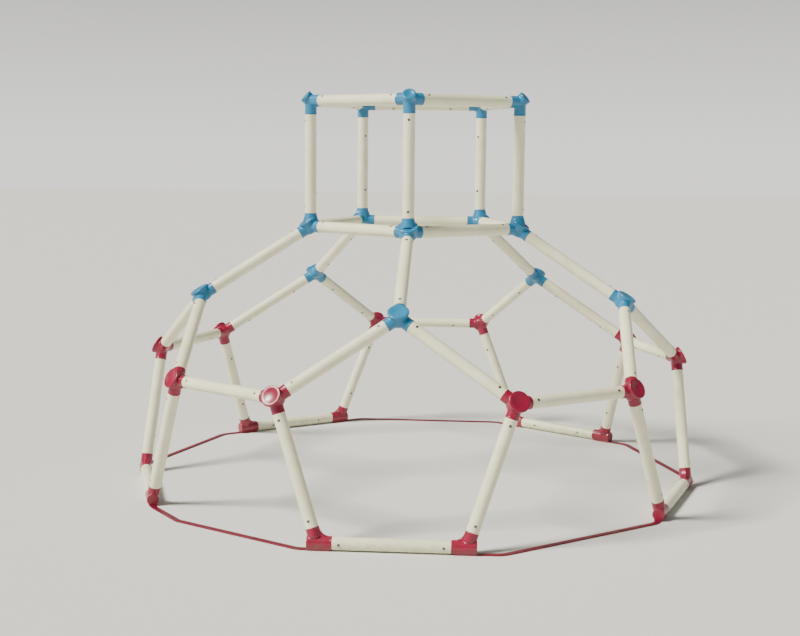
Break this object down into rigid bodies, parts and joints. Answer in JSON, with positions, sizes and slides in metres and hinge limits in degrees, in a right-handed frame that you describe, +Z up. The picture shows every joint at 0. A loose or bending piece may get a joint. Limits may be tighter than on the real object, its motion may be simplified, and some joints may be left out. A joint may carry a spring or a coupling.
{
  "type": "dome climber",
  "caption": "Ball-shaped climbing frame of plastic tubes plugged into round hubs, with a five-sided lookout cage on top and flat straps that tie its feet together.",
  "frame": {"origin": "on the ground at the centre of the dome's five-fold axis", "axes": "+Z up along the dome's axis, -Y towards the front, +X to the right seen from the front"},
  "size_m": [2.0418, 1.9603, 1.3879],
  "materials": {
    "tube_plastic": "extruded polyethylene, ivory, slightly glossy",
    "blue_plastic": "injection-moulded polypropylene, sky blue, semi-gloss",
    "red_plastic": "injection-moulded polypropylene, crimson, semi-gloss",
    "strap_coating": "flat steel bar, crimson powder coat, semi-gloss",
    "screw_steel": "zinc-plated pan-head screw"
  },
  "bodies": {
    "root": {"top_hub_front": "blue_plastic", "top_hub_right": "blue_plastic", "top_hub_back_right": "blue_plastic", "top_hub_back_left": "blue_plastic", "top_hub_left": "blue_plastic", "deck_hub_front": "blue_plastic", "deck_hub_right": "blue_plastic", "deck_hub_back_right": "blue_plastic", "deck_hub_back_left": "blue_plastic", "deck_hub_left": "blue_plastic", "crown_hub_front": "blue_plastic", "crown_hub_right": "blue_plastic", "crown_hub_back_right": "blue_plastic", "crown_hub_back_left": "blue_plastic", "crown_hub_left": "blue_plastic", "belt_hub_front_l": "red_plastic", "belt_hub_front_r": "red_plastic", "belt_hub_right_l": "red_plastic", "belt_hub_right_r": "red_plastic", "belt_hub_back_right_l": "red_plastic", "belt_hub_back_right_r": "red_plastic", "belt_hub_back_left_l": "red_plastic", "belt_hub_back_left_r": "red_plastic", "belt_hub_left_l": "red_plastic", "belt_hub_left_r": "red_plastic", "ground_joint_front_l": "red_plastic", "ground_joint_front_r": "red_plastic", "ground_joint_right_l": "red_plastic", "ground_joint_right_r": "red_plastic", "ground_joint_back_right_l": "red_plastic", "ground_joint_back_right_r": "red_plastic", "ground_joint_back_left_l": "red_plastic", "ground_joint_back_left_r": "red_plastic", "ground_joint_left_l": "red_plastic", "ground_joint_left_r": "red_plastic", "ground_strap_front": "strap_coating", "ground_strap_right": "strap_coating", "ground_strap_back_right": "strap_coating", "ground_strap_back_left": "strap_coating", "ground_strap_left": "strap_coating", "top_hub_spigots": "blue_plastic", "deck_hub_spigots": "blue_plastic", "crown_hub_spigots": "blue_plastic", "belt_hub_spigots": "red_plastic", "ground_joint_spigots": "red_plastic", "top_rails": "tube_plastic", "cage_posts": "tube_plastic", "deck_rails": "tube_plastic", "spokes": "tube_plastic", "shoulder_tubes_l": "tube_plastic", "shoulder_tubes_r": "tube_plastic", "belt_rails": "tube_plastic", "legs_l": "tube_plastic", "legs_r": "tube_plastic", "base_tubes": "tube_plastic", "top_rail_screws": "screw_steel", "cage_post_screws": "screw_steel", "deck_rail_screws": "screw_steel", "spoke_screws": "screw_steel", "shoulder_screws": "screw_steel", "belt_rail_screws": "screw_steel", "leg_screws": "screw_steel", "base_tube_screws": "screw_steel", "strap_screws": "screw_steel"}
  },
  "joints": []
}
